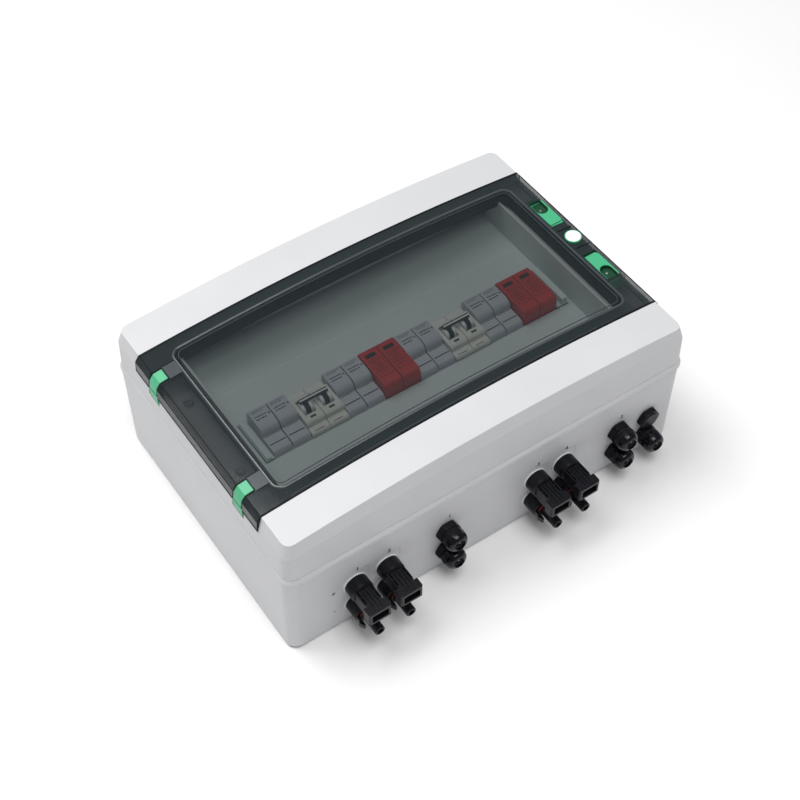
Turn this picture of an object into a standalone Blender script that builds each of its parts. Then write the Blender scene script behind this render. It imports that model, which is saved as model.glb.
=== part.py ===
"""DC combiner box lying on its back: base, lid, smoked door, module row, connectors, glands.

Frame: origin at the centre of the back face, +X along the long side from the
hinge end to the latch end, -Y the wall with the connectors, +Z out of the lid.
"""
import math

import bmesh
import bpy
from mathutils import Matrix, Vector

MM = 0.001
GAP = 0.3

# enclosure
WIDTH = 400.0
DEPTH = 276.0
BASE_DEPTH = 272.0
CORNER = 10.0
WALL = 4.0
FLOOR = 3.0
RIM_Z = 101.4
RIM_BAND = 6.0
RIM_EDGE = 3.2
RIM_SLOPE = 3.0
LID_Z0 = RIM_Z + GAP
LID_FOOT_W = 397.0
LID_FOOT_D = 272.4
LID_STEP_Z = 128.5
LID_STEP_W = 394.8
LID_STEP_D = 270.8
LID_TOP_Z = 141.0
LID_TOP_W = 387.4
LID_TOP_D = 262.8
CROWN = 9.0
LID_SKIN = 3.0

# door band
DOOR_HALF = 96.4
DOOR_FOOT_Z = 125.5
DOOR_END_X = 198.4
DOOR_KNEE_Z = 136.0
DOOR_SKIN = 3.0
HINGE_X = -194.6
HINGE_Z = 119.7
HINGE_R = 4.0
CLIP_Y = 66.7
CLIP_W = 14.2
LATCH_W = 15.0
LATCH_L = 34.0
LATCH_Y = (39.0, -37.5)
LATCH_X = 183.6
LOCK_Y = 1.6
LOCK_R = 8.0

# tray and modules
PLATE_Z = 104.0
PLATE_T = 2.5
TRAY_X = 165.0
MODULE = 18.0
ROW_X0 = -144.0
ROW_Y = -8.6
NOSE_D = 44.6
RAIL_Z = 36.0
BODY_D = 86.0
BODY_Z1 = 92.0

# wall fittings, x along the front wall
PLUG_X = (-138.0, -107.8, 42.5, 72.3)
OUT_X = (-48.5, 132.3)
LAST_X = 166.0
UPPER_Z = 51.5
LOWER_Z = 25.5
WALL_Y = -BASE_DEPTH / 2.0

SIDES = 16


def clear_scene():
    """Start from an empty scene."""
    for old in list(bpy.data.objects):
        bpy.data.objects.remove(old, do_unlink=True)


def material(name, colour, rough, metal=0.0, alpha=1.0):
    """A Principled material for one piece."""
    mat = bpy.data.materials.new(name)
    mat.use_nodes = True
    shader = mat.node_tree.nodes["Principled BSDF"]
    shader.inputs["Base Color"].default_value = (*colour, 1.0)
    shader.inputs["Roughness"].default_value = rough
    shader.inputs["Metallic"].default_value = metal
    shader.inputs["Alpha"].default_value = alpha
    return mat


PALETTE = {
    "shell": ((0.62, 0.63, 0.65), 0.45, 0.0, 1.0),
    "smoked": ((0.10, 0.12, 0.13), 0.12, 0.0, 0.45),
    "green": ((0.10, 0.55, 0.30), 0.4, 0.0, 1.0),
    "white": ((0.90, 0.90, 0.90), 0.4, 0.0, 1.0),
    "steel": ((0.60, 0.60, 0.62), 0.3, 1.0, 1.0),
    "rubber": ((0.05, 0.05, 0.05), 0.8, 0.0, 1.0),
    "plate": ((0.55, 0.56, 0.58), 0.5, 0.0, 1.0),
    "module": ((0.60, 0.60, 0.58), 0.5, 0.0, 1.0),
    "breaker": ((0.66, 0.64, 0.58), 0.5, 0.0, 1.0),
    "red": ((0.55, 0.05, 0.05), 0.5, 0.0, 1.0),
    "black": ((0.02, 0.02, 0.025), 0.35, 0.0, 1.0),
}


def finish_object(name, bm, look):
    """Turn a bmesh in millimetres into a named object in metres."""
    bmesh.ops.remove_doubles(bm, verts=bm.verts, dist=0.001)
    bmesh.ops.recalc_face_normals(bm, faces=bm.faces)
    bmesh.ops.scale(bm, vec=(MM, MM, MM), verts=bm.verts)
    mesh = bpy.data.meshes.new(name)
    bm.to_mesh(mesh)
    bm.free()
    body = bpy.data.objects.new(name, mesh)
    bpy.context.scene.collection.objects.link(body)
    if look:
        body.data.materials.append(material(name, *PALETTE[look]))
    return body


def box(x0, x1, y0, y1, z0, z1):
    """Box as a bmesh, millimetres."""
    bm = bmesh.new()
    bmesh.ops.create_cube(bm, size=1.0)
    size = Matrix.Diagonal((x1 - x0, y1 - y0, z1 - z0, 1.0))
    middle = Vector(((x0 + x1) / 2, (y0 + y1) / 2, (z0 + z1) / 2))
    bmesh.ops.transform(bm, matrix=Matrix.Translation(middle) @ size, verts=bm.verts)
    return bm


def ring_stack(rings):
    """Closed skin through equal-length rings, capped at both ends."""
    bm = bmesh.new()
    rows = [[bm.verts.new(point) for point in ring] for ring in rings]
    count = len(rows[0])
    for low, high in zip(rows, rows[1:]):
        for i in range(count):
            j = (i + 1) % count
            bm.faces.new((low[i], low[j], high[j], high[i]))
    bm.faces.new(list(reversed(rows[0])))
    bm.faces.new(rows[-1])
    return bm


def turned(profile, axis_point, axis="z", sides=SIDES, phase=0.0):
    """Solid of stacked circles: profile holds (radius, distance along the axis)."""
    rings = []
    for radius, along in profile:
        ring = []
        for i in range(sides):
            angle = 2 * math.pi * i / sides + phase
            u = radius * math.cos(angle)
            v = radius * math.sin(angle)
            if axis == "z":
                offset = (u, v, along)
            elif axis == "y":
                offset = (v, along, u)
            else:
                offset = (along, u, v)
            ring.append(tuple(a + b for a, b in zip(axis_point, offset)))
        rings.append(ring)
    return ring_stack(rings)


def extrude_y(outline, y0, y1):
    """Prism of an x, z outline between two y values."""
    return ring_stack([[(x, y, z) for x, z in outline] for y in (y0, y1)])


def extrude_x(outline, x0, x1):
    """Prism of a y, z outline between two x values."""
    return ring_stack([[(x, y, z) for y, z in outline] for x in (x0, x1)])


def rounded_half(width, depth, radius, steps=5, runs=10):
    """Stations (x, half depth) of a rounded rectangle from left to right."""
    stations = []
    for i in range(steps + 1):
        angle = math.pi / 2 * i / steps
        x = -width / 2 + radius * (1 - math.cos(angle))
        stations.append((x, depth / 2 - radius * (1 - math.sin(angle))))
    inner = width / 2 - radius
    for i in range(1, runs):
        stations.append((-inner + 2 * inner * i / runs, depth / 2))
    stations += [(-x, y) for x, y in reversed(stations[:steps + 1])]
    return stations


def crown_at(x):
    """Rise of the lid top above its ends."""
    return CROWN * max(0.0, 1.0 - (x / (LID_TOP_W / 2)) ** 2)


def rounded_loft(sections):
    """Solid through rounded rectangles: (width, depth, radius, z, crown share)."""
    bm = bmesh.new()
    rows = []
    for width, depth, radius, z, share in sections:
        half = rounded_half(width, depth, radius)
        front = [bm.verts.new((x, -y, z + share * crown_at(x))) for x, y in half]
        back = [bm.verts.new((x, y, z + share * crown_at(x))) for x, y in half]
        rows.append((front, back))
    for (fa, ba), (fb, bb) in zip(rows, rows[1:]):
        for i in range(len(fa) - 1):
            bm.faces.new((fa[i], fa[i + 1], fb[i + 1], fb[i]))
            bm.faces.new((ba[i + 1], ba[i], bb[i], bb[i + 1]))
        bm.faces.new((ba[0], fa[0], fb[0], bb[0]))
        bm.faces.new((fa[-1], ba[-1], bb[-1], fb[-1]))
    for front, back in (rows[0], rows[-1]):
        for i in range(len(front) - 1):
            bm.faces.new((front[i], front[i + 1], back[i + 1], back[i]))
    return bm


def combine(body, bm, kind):
    """Apply one exact Boolean with a temporary tool body."""
    tool = finish_object("tool", bm, None)
    tool.hide_render = True
    tool.display_type = "WIRE"
    step = body.modifiers.new("step", "BOOLEAN")
    step.operation = kind
    step.solver = "EXACT"
    step.object = tool
    bpy.context.view_layer.update()
    graph = bpy.context.evaluated_depsgraph_get()
    made = bpy.data.meshes.new_from_object(body.evaluated_get(graph))
    body.modifiers.clear()
    body.data = made
    bpy.data.objects.remove(tool, do_unlink=True)


def cut(body, *tools):
    """Cut several tools away."""
    for bm in tools:
        combine(body, bm, "DIFFERENCE")


def join(body, *tools):
    """Join several tools on."""
    for bm in tools:
        combine(body, bm, "UNION")


def pivot_at(body, point):
    """Put the object's origin on its joint axis without moving the mesh."""
    shift = Vector(point) * MM
    body.data.transform(Matrix.Translation(-shift))
    body.location = shift


def tube_hole(x, y, z0, z1, radius):
    """Round vertical cutter."""
    return turned([(radius, z0), (radius, z1)], (x, y, 0.0))


SCREWS = [(180.0, 41.0), (180.0, -41.0), (-180.0, 41.0), (-180.0, -41.0)]
WALL_BORES = [(x, z) for x in PLUG_X for z in (UPPER_Z, LOWER_Z)]
GLANDS = [(x, z) for x in OUT_X for z in (UPPER_Z, LOWER_Z)] + [(LAST_X, LOWER_Z - 1.0)]
VENT = (LAST_X, UPPER_Z - 5.0)
BORE_R = 8.4


def build_base():
    """Base shell with rim band, screw pillars and bored front wall."""
    band = RIM_Z - RIM_BAND
    base = finish_object("base_shell", rounded_loft([
        (WIDTH - 5.0, BASE_DEPTH - 5.0, CORNER - 3.0, 0.0, 0.0),
        (WIDTH - 1.0, BASE_DEPTH, CORNER, 3.0, 0.0),
        (WIDTH - 1.0, BASE_DEPTH, CORNER, band - 1.5, 0.0),
        (WIDTH, DEPTH, CORNER + 1.0, band, 0.0),
        (WIDTH, DEPTH, CORNER + 1.0, RIM_Z - RIM_EDGE, 0.0),
        (WIDTH - RIM_SLOPE, DEPTH - RIM_SLOPE, CORNER, RIM_Z, 0.0),
    ]), "shell")
    inner_w = WIDTH - 1.0 - 2 * WALL
    inner_d = BASE_DEPTH - 2 * WALL
    cut(base, rounded_loft([
        (inner_w, inner_d, CORNER - WALL, FLOOR, 0.0),
        (inner_w, inner_d, CORNER - WALL, RIM_Z + 5.0, 0.0),
    ]))
    for x, y in SCREWS:
        join(base, turned([(5.5, FLOOR - 1.0), (5.0, 70.0)], (x, y, 0.0), sides=12))
        cut(base, tube_hole(x, y, 55.0, 75.0, 2.4))
    for y in (ROW_Y - 10.0, ROW_Y + 10.0):
        join(base, box(-150.0, 150.0, y - 2.0, y + 2.0, FLOOR - 1.0, RAIL_Z - GAP))
    for x, z in WALL_BORES + GLANDS + [VENT]:
        cut(base, turned([(BORE_R, WALL_Y - 2.0), (BORE_R, WALL_Y + WALL + 2.0)],
                         (x, 0.0, z), axis="y", sides=12))
    return base


def lid_sections(inset=0.0, low=0.0, high=0.0):
    """Lid outline sections, optionally offset inwards."""
    w = 2 * inset
    r = inset
    return [
        (LID_FOOT_W - w, LID_FOOT_D - w, CORNER - r, LID_Z0 + low, 0.0),
        (LID_FOOT_W - w, LID_FOOT_D - w, CORNER - r, LID_Z0 + 2.0 + low / 8, 0.0),
        (LID_STEP_W - w, LID_STEP_D - w, CORNER - 1.0 - r, LID_STEP_Z, 1.0),
        (LID_TOP_W - w, LID_TOP_D - w, CORNER - 3.0 - r, LID_TOP_Z - high, 1.0),
    ]


def build_lid():
    """Crowned lid with the door channel, end ledges and hinge rail."""
    lid = finish_object("lid_shell", rounded_loft(lid_sections()), "shell")
    cut(lid, rounded_loft(lid_sections(LID_SKIN, -8.0, LID_SKIN)))
    band = finish_object("band", rounded_loft(lid_sections(0.4, 0.0, 0.4)), None)
    combine(band, box(-210.0, 210.0, -100.0, 100.0, 112.0, 180.0), "INTERSECT")
    bm = bmesh.new()
    bm.from_mesh(band.data)
    bmesh.ops.scale(bm, vec=(1 / MM, 1 / MM, 1 / MM), verts=bm.verts)
    bpy.data.objects.remove(band, do_unlink=True)
    join(lid, bm)
    half = DOOR_HALF + GAP
    cut(lid,
        box(-210.0, 210.0, -half, half, DOOR_FOOT_Z - GAP, 180.0),
        box(-TRAY_X, TRAY_X, -half, half, 90.0, 140.0),
        box(TRAY_X + 3.0, 194.5, -half, half, 90.0, 121.5),
        box(-188.0, -TRAY_X - 3.0, -half, half, 90.0, 121.5))
    cut(lid, box(-210.0, HINGE_X + 1.0, -half, half, DOOR_FOOT_Z - 1.1, 130.0))
    for x, y in SCREWS:
        cut(lid, tube_hole(x, y, 115.0, 130.0, 2.6))
    for side in (-1, 1):
        y0 = side * CLIP_Y - CLIP_W / 2 - 0.5
        cut(lid, box(-210.0, HINGE_X + HINGE_R + 0.5, y0, y0 + CLIP_W + 1.0,
                     HINGE_Z - HINGE_R - 0.8, 130.0))
    cut(lid, turned([(1.8, -80.0), (1.8, 80.0)], (HINGE_X, 0.0, HINGE_Z), axis="y", sides=10))
    return lid


def build_gasket():
    """Lip seal ring inside the joint between base and lid."""
    w = WIDTH - 1.0 - 2 * WALL - 2 * GAP
    d = BASE_DEPTH - 2 * WALL - 2 * GAP
    seal = finish_object("lid_gasket", rounded_loft([
        (w, d, CORNER - WALL, 99.0, 0.0), (w, d, CORNER - WALL, 104.0, 0.0)]), "rubber")
    cut(seal, rounded_loft([
        (w - 5.0, d - 5.0, CORNER - WALL - 2.5, 95.0, 0.0),
        (w - 5.0, d - 5.0, CORNER - WALL - 2.5, 108.0, 0.0)]))


def build_screws():
    """Four lid screws."""
    for number, (x, y) in enumerate(SCREWS, 1):
        screw = finish_object(f"lid_screw_{number}", turned([
            (2.0, 60.0), (2.0, DOOR_FOOT_Z), (4.2, DOOR_FOOT_Z), (4.2, DOOR_FOOT_Z + 2.2),
            (3.4, DOOR_FOOT_Z + 3.0)], (x, y, 0.0), sides=12), "steel")
        cut(screw, box(x - 2.8, x + 2.8, y - 0.5, y + 0.5, DOOR_FOOT_Z + 1.8, 130.0))


def door_outline(thickness, x0=-DOOR_END_X, x1=DOOR_END_X):
    """Cross-section of the door band along X as outer line then inner line."""
    top_x = LID_TOP_W / 2
    outer = [(-DOOR_END_X, DOOR_FOOT_Z), (-DOOR_END_X + 1.0, DOOR_KNEE_Z)]
    for i in range(21):
        x = -top_x + 2 * top_x * i / 20
        outer.append((x, LID_TOP_Z + crown_at(x)))
    outer += [(DOOR_END_X - 1.0, DOOR_KNEE_Z), (DOOR_END_X, DOOR_FOOT_Z)]
    inner = [(-DOOR_END_X + thickness, DOOR_FOOT_Z),
             (-DOOR_END_X + 1.0 + thickness, DOOR_KNEE_Z - 1.2)]
    shrink = (top_x - 1.3) / top_x
    for i in range(21):
        x = (-top_x + 2 * top_x * i / 20) * shrink
        inner.append((x, LID_TOP_Z - thickness + crown_at(x / shrink)))
    inner += [(DOOR_END_X - 1.0 - thickness, DOOR_KNEE_Z - 1.2),
              (DOOR_END_X - thickness, DOOR_FOOT_Z)]
    return outer + list(reversed(inner))


def build_door():
    """Smoked door band with hinge notches, latch openings and lock hole."""
    door = finish_object("door", extrude_y(door_outline(DOOR_SKIN), -DOOR_HALF, DOOR_HALF),
                         "smoked")
    for side in (-1, 1):
        y0 = side * CLIP_Y - CLIP_W / 2 - GAP
        cut(door, box(-210.0, -185.3, y0, y0 + CLIP_W + 2 * GAP, 110.0, 150.0))
    for y in LATCH_Y:
        cut(door, box(LATCH_X - LATCH_W / 2, LATCH_X + LATCH_W / 2,
                      y - LATCH_L / 2, y + LATCH_L / 2, 130.0, 150.0))
    cut(door, tube_hole(LATCH_X, LOCK_Y, 130.0, 150.0, LOCK_R))
    pivot_at(door, (HINGE_X, 0.0, HINGE_Z))


def build_clips():
    """Green hinge clips carried by the door, turning on one rod in the lid."""
    for name, side in (("back", 1), ("front", -1)):
        y0 = side * CLIP_Y - CLIP_W / 2
        y1 = y0 + CLIP_W
        arm = [(-DOOR_END_X, HINGE_Z), (-DOOR_END_X, 126.0), (-DOOR_END_X + 1.0, DOOR_KNEE_Z),
               (-193.6, 141.1), (-185.6, 142.3), (-185.6, 139.3), (-192.4, 138.0),
               (-194.2, 135.0), (-194.8, 126.0), (-192.6, HINGE_Z + 2.4), (-192.0, HINGE_Z)]
        clip = finish_object(f"hinge_clip_{name}", extrude_y(arm, y0, y1), "green")
        join(clip, turned([(HINGE_R, y0 - 0.05), (HINGE_R, y1 + 0.05)],
                          (HINGE_X, 0.0, HINGE_Z), axis="y"))
        cut(clip, turned([(1.8, y0 - 2.0), (1.8, y1 + 2.0)],
                         (HINGE_X, 0.0, HINGE_Z), axis="y", sides=10))
        pivot_at(clip, (HINGE_X, 0.0, HINGE_Z))
    finish_object("hinge_rod", turned([(1.5, -79.5), (1.5, 79.5)],
                                      (HINGE_X, 0.0, HINGE_Z), axis="y", sides=10), "steel")


def build_latches():
    """Two green slides under the door, with a finger scoop each, and the lock plug."""
    z1 = 136.6
    for name, y, end in (("back", LATCH_Y[0], 1), ("front", LATCH_Y[1], -1)):
        x0 = LATCH_X - 8.6
        x1 = LATCH_X + 8.6
        y0 = y - LATCH_L / 2 - 8.0
        y1 = y + LATCH_L / 2 + 8.0
        slide = finish_object(f"latch_{name}", box(x0, x1, y0, y1, z1 - 4.0, z1), "green")
        join(slide, box(x0 + 2.0, x1 - 2.2, y - LATCH_L / 2 + 3.6, y + LATCH_L / 2 - 3.6,
                        z1 - 1.0, LID_TOP_Z))
        scoop = y + end * (LATCH_L / 2 - 8.5)
        cut(slide, turned([(4.6, z1), (5.4, z1 + 9.0)], (LATCH_X, scoop, 0.0), sides=12))
        pivot_at(slide, (LATCH_X, y, z1))
    ring = finish_object("lock_ring", turned([
        (LOCK_R + 0.8, 133.6), (LOCK_R + 0.8, 136.6), (LOCK_R - GAP, 136.6),
        (LOCK_R - GAP, 143.6)], (LATCH_X, LOCK_Y, 0.0)), "green")
    cut(ring, tube_hole(LATCH_X, LOCK_Y, 130.0, 150.0, 6.0))
    finish_object("lock_plug", turned([(5.7, 134.0), (5.7, 142.6), (4.9, 143.4)],
                                      (LATCH_X, LOCK_Y, 0.0)), "white")


def build_tray():
    """Recessed front plate with the module cut-out, blanks and DIN rail."""
    half = DOOR_HALF - 0.2
    out_x = TRAY_X - GAP
    z0 = PLATE_Z - PLATE_T
    top = 132.0
    tray = finish_object("front_plate", box(-out_x, out_x, -half, half, z0, top), "plate")
    slope = ring_stack([
        [(-out_x + 5.0, -half + 8.0, PLATE_Z), (out_x - 5.0, -half + 8.0, PLATE_Z),
         (out_x - 5.0, half - 8.0, PLATE_Z), (-out_x + 5.0, half - 8.0, PLATE_Z)],
        [(-out_x + 2.5, -half + 2.5, top + 1.0), (out_x - 2.5, -half + 2.5, top + 1.0),
         (out_x - 2.5, half - 2.5, top + 1.0), (-out_x + 2.5, half - 2.5, top + 1.0)]])
    cut(tray, slope)
    slot_half = NOSE_D / 2 + GAP
    cut(tray, box(-152.0, 162.0 - 6.0, ROW_Y - slot_half, ROW_Y + slot_half, 90.0, 110.0))
    blanks = (("left", -151.7, ROW_X0 - GAP), ("right", ROW_X0 + 16 * MODULE + GAP, 155.7))
    for name, x0, x1 in blanks:
        finish_object(f"blank_{name}", box(x0, x1, ROW_Y - NOSE_D / 2, ROW_Y + NOSE_D / 2,
                                           z0, PLATE_Z + 1.2), "plate")
    y = ROW_Y
    z = RAIL_Z
    hat = [(y - 17.5, z + 7.5), (y - 17.5, z + 6.5), (y - 13.5, z + 6.5), (y - 13.5, z),
           (y + 13.5, z), (y + 13.5, z + 6.5), (y + 17.5, z + 6.5), (y + 17.5, z + 7.5),
           (y + 12.5, z + 7.5), (y + 12.5, z + 1.0), (y - 12.5, z + 1.0), (y - 12.5, z + 7.5)]
    finish_object("din_rail", extrude_x(hat, -152.0, 152.0), "steel")


def module_body(x0, x1, nose_z, nose_front=0.0, nose_back=0.0):
    """Stepped DIN module housing as a prism along X."""
    y0 = ROW_Y - BODY_D / 2
    y1 = ROW_Y + BODY_D / 2
    n0 = ROW_Y - NOSE_D / 2 + nose_front
    n1 = ROW_Y + NOSE_D / 2 - nose_back
    z0 = RAIL_Z + 7.5 + GAP
    outline = [(y0, z0), (y1, z0), (y1, BODY_Z1 - 12.0), (n1 + 3.0, BODY_Z1),
               (n1, BODY_Z1 + 2.0), (n1, nose_z), (n0, nose_z), (n0, BODY_Z1 + 2.0),
               (n0 - 3.0, BODY_Z1), (y0, BODY_Z1 - 12.0)]
    return extrude_x(outline, x0 + GAP / 2, x1 - GAP / 2)


def build_fuses():
    """Fuse holder bases, two ways each, with one pull-out carrier per way."""
    low = 104.5
    n0 = ROW_Y - NOSE_D / 2
    n1 = ROW_Y + NOSE_D / 2
    way = 0
    for number, slot in enumerate((0, 4, 8, 12), 1):
        x0 = ROW_X0 + slot * MODULE
        finish_object(f"fuse_base_{number}", module_body(x0, x0 + 2 * MODULE, low - GAP),
                      "module")
        for k in range(2):
            way += 1
            xa = x0 + k * MODULE + 0.4
            xb = xa + MODULE - 0.8
            outline = [(n0 + 0.6, low), (n1 - 0.6, low), (n1 - 0.6, low + 12.0),
                       (n1 - 2.0, low + 13.5), (n1 - 15.0, low + 13.5), (n1 - 18.0, low + 12.0),
                       (n1 - 20.5, low + 7.5), (n0 + 5.0, low + 6.0), (n0 + 1.6, low + 4.0)]
            carrier = finish_object(f"fuse_carrier_{way}", extrude_x(outline, xa, xb), "module")
            pivot_at(carrier, (xa + MODULE / 2, n0 + 0.6, low))


def build_breakers():
    """Two-pole breakers with a linked toggle bar."""
    for number, slot in enumerate((2, 10), 1):
        x0 = ROW_X0 + slot * MODULE
        x1 = x0 + 2 * MODULE
        xm = (x0 + x1) / 2
        top = 114.0
        body = finish_object(f"breaker_body_{number}", module_body(x0, x1, top), "breaker")
        cut(body, box(x0 + 4.0, x1 - 4.0, ROW_Y - 9.0, ROW_Y + 13.0, top - 7.0, top + 5.0))
        y = ROW_Y + 2.0
        z = top - 2.0
        toggle = finish_object(f"breaker_toggle_{number}", extrude_x([
            (y - 4.0, z - 2.5), (y + 4.0, z - 2.5), (y + 3.5, z + 2.0),
            (y + 6.0, z + 10.0), (y + 1.6, z + 11.0), (y - 3.5, z + 2.0)],
            x0 + 4.6, x1 - 4.6), "black")
        pivot_at(toggle, (xm, y, z))


def build_surge():
    """Two-pole surge protectors with plug-in cartridges."""
    n0 = ROW_Y - NOSE_D / 2
    n1 = ROW_Y + NOSE_D / 2
    way = 0
    for number, slot in enumerate((6, 14), 1):
        x0 = ROW_X0 + slot * MODULE
        low = 102.0
        finish_object(f"surge_base_{number}", module_body(x0, x0 + 2 * MODULE, low - GAP), "red")
        for k in range(2):
            way += 1
            xa = x0 + k * MODULE + 0.3
            outline = [(n0 + 0.6, low), (n1 - 0.6, low), (n1 - 0.6, low + 15.5),
                       (n1 - 1.4, low + 17.0), (n0 + 6.0, low + 17.0), (n0 + 2.6, low + 15.4),
                       (n0 + 0.6, low + 11.0)]
            cartridge = finish_object(f"surge_cartridge_{way}",
                                      extrude_x(outline, xa, xa + MODULE - 0.6), "red")
            cut(cartridge, box(xa + 3.4, xa + MODULE - 4.0, n1 - 8.5, n1 - 4.5,
                               low + 13.0, low + 20.0))
            pivot_at(cartridge, (xa + MODULE / 2 - 0.3, ROW_Y, low))


def build_plugs():
    """Panel connectors: sockets in the upper row, pins in the lower row."""
    way = 0
    for x in PLUG_X:
        way += 1
        y = WALL_Y
        z = UPPER_Z
        upper = finish_object(f"socket_{way}", turned([
            (8.0, y + WALL + 6.0), (8.0, y - GAP), (11.2, y - GAP), (11.2, y - 1.5),
            (10.2, y - 1.5), (10.2, y - 11.0)], (x, 0.0, z), axis="y"), "black")
        join(upper, box(x - 8.2, x + 8.2, y - 29.0, y - 10.0, z - 7.0, z + 7.0),
             box(x - 10.4, x + 10.4, y - 37.0, y - 28.0, z - 7.0, z + 7.0))
        cut(upper, box(x - 8.0, x + 8.0, y - 40.0, y - 31.0, z - 4.6, z + 4.6),
            turned([(3.2, y - 40.0), (3.2, y - 20.0)], (x, 0.0, z), axis="y", sides=12))
        z = LOWER_Z
        lower = finish_object(f"pin_plug_{way}", turned([
            (8.0, y + WALL + 6.0), (8.0, y - GAP), (11.2, y - GAP), (11.2, y - 1.5),
            (10.0, y - 1.5), (10.0, y - 15.5), (4.6, y - 15.5), (4.6, y - 36.0)],
            (x, 0.0, z), axis="y"), "black")
        join(lower, box(x - 9.2, x - 6.6, y - 26.0, y - 15.0, z - 2.2, z + 2.2),
             box(x + 6.6, x + 9.2, y - 26.0, y - 15.0, z - 2.2, z + 2.2))
        cut(lower, turned([(3.0, y - 40.0), (3.0, y - 27.0)], (x, 0.0, z), axis="y", sides=12))


def build_glands():
    """Cable glands: hexagonal body in the wall and a domed nut."""
    for number, (x, z) in enumerate(GLANDS, 1):
        y = WALL_Y
        finish_object(f"gland_body_{number}", turned([
            (8.0, y + WALL + 6.0), (8.0, y - GAP), (10.8, y - GAP), (10.8, y - 6.0),
            (8.8, y - 6.0), (8.8, y - 8.0)], (x, 0.0, z), axis="y", sides=12), "black")
        body = bpy.data.objects[f"gland_body_{number}"]
        cut(body, turned([(5.0, y - 20.0), (5.0, y + 20.0)], (x, 0.0, z), axis="y", sides=12))
        y -= 8.0 + GAP
        nut = finish_object(f"gland_nut_{number}", turned([
            (10.4, y), (10.4, y - 6.0), (9.4, y - 9.0), (7.4, y - 11.4), (5.6, y - 12.2)],
            (x, 0.0, z), axis="y", sides=12), "black")
        cut(nut, turned([(4.6, y - 30.0), (4.6, y + 5.0)], (x, 0.0, z), axis="y", sides=12))
        pivot_at(nut, (x, y - 6.0, z))
    x, z = VENT
    y = WALL_Y
    finish_object("vent_plug", turned([
        (8.0, y + WALL + 6.0), (8.0, y - GAP), (10.8, y - GAP), (10.8, y - 5.0),
        (9.4, y - 6.6)], (x, 0.0, z), axis="y", sides=6), "black")


clear_scene()
build_base()
build_lid()
build_gasket()
build_screws()
build_door()
build_clips()
build_latches()
build_tray()
build_fuses()
build_breakers()
build_surge()
build_plugs()
build_glands()
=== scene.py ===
"""Looks of the DC combiner box: moulded shells, smoked door, modules, connectors and glands.

Lengths are in millimetres until a mesh is made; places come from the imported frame.
"""
import math

import bmesh
import bpy
from mathutils import Euler, Matrix, Vector


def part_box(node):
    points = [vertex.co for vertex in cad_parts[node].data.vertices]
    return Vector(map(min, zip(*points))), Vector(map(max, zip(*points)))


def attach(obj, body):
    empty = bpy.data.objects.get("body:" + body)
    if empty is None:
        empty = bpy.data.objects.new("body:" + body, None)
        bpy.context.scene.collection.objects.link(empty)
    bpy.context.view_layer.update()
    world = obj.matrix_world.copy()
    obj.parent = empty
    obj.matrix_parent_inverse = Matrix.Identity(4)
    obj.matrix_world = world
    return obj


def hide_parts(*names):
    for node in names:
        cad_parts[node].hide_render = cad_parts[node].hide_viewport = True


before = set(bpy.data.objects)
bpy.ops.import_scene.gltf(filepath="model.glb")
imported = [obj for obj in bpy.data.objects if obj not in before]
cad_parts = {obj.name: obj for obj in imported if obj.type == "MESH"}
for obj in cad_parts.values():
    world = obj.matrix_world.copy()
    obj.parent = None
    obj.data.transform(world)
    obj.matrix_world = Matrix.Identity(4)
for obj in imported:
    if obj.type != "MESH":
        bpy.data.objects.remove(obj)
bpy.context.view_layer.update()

MM = 0.001
BEVEL = 0.5


# ---------------------------------------------------------------- materials

def shader_of(name):
    """New node material and its Principled shader."""
    mat = bpy.data.materials.new(name)
    mat.use_nodes = True
    return mat, mat.node_tree, mat.node_tree.nodes["Principled BSDF"]


def noise(tree, scale, detail=4.0, rough=0.6):
    """Noise texture on object coordinates."""
    coords = tree.nodes.new("ShaderNodeTexCoord")
    tex = tree.nodes.new("ShaderNodeTexNoise")
    tex.inputs["Scale"].default_value = scale
    tex.inputs["Detail"].default_value = detail
    tex.inputs["Roughness"].default_value = rough
    tree.links.new(coords.outputs["Object"], tex.inputs["Vector"])
    return tex.outputs["Fac"]


def ramp(tree, fac, low, high, start=0.3, end=0.7):
    """Colour ramp between two colours."""
    node = tree.nodes.new("ShaderNodeValToRGB")
    node.color_ramp.elements[0].position = start
    node.color_ramp.elements[1].position = end
    node.color_ramp.elements[0].color = (*low, 1.0)
    node.color_ramp.elements[1].color = (*high, 1.0)
    tree.links.new(fac, node.inputs["Fac"])
    return node.outputs["Color"]


def span(tree, fac, low, high):
    """Map a 0 to 1 value onto a range."""
    node = tree.nodes.new("ShaderNodeMapRange")
    node.inputs["To Min"].default_value = low
    node.inputs["To Max"].default_value = high
    tree.links.new(fac, node.inputs["Value"])
    return node.outputs["Result"]


def bump(tree, shader, fac, strength, distance):
    """Surface relief from a value."""
    node = tree.nodes.new("ShaderNodeBump")
    node.inputs["Strength"].default_value = strength
    node.inputs["Distance"].default_value = distance
    tree.links.new(fac, node.inputs["Height"])
    tree.links.new(node.outputs["Normal"], shader.inputs["Normal"])


def moulded(name, colour, rough=0.45, vary=0.04, grain=900.0, relief=0.12, metal=0.0, spec=0.5):
    """Injection-moulded plastic or metal: spark-eroded grain, slight tone and gloss drift."""
    mat, tree, shader = shader_of(name)
    low = tuple(c * (1 - vary) for c in colour)
    high = tuple(min(1.0, c * (1 + vary)) for c in colour)
    drift = noise(tree, 14.0, 3.0)
    tree.links.new(ramp(tree, drift, low, high), shader.inputs["Base Color"])
    fine = noise(tree, grain, 2.0)
    tree.links.new(span(tree, fine, rough - 0.07, rough + 0.07), shader.inputs["Roughness"])
    bump(tree, shader, fine, relief, 0.00015)
    shader.inputs["Metallic"].default_value = metal
    shader.inputs["Specular IOR Level"].default_value = spec
    return mat


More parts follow.
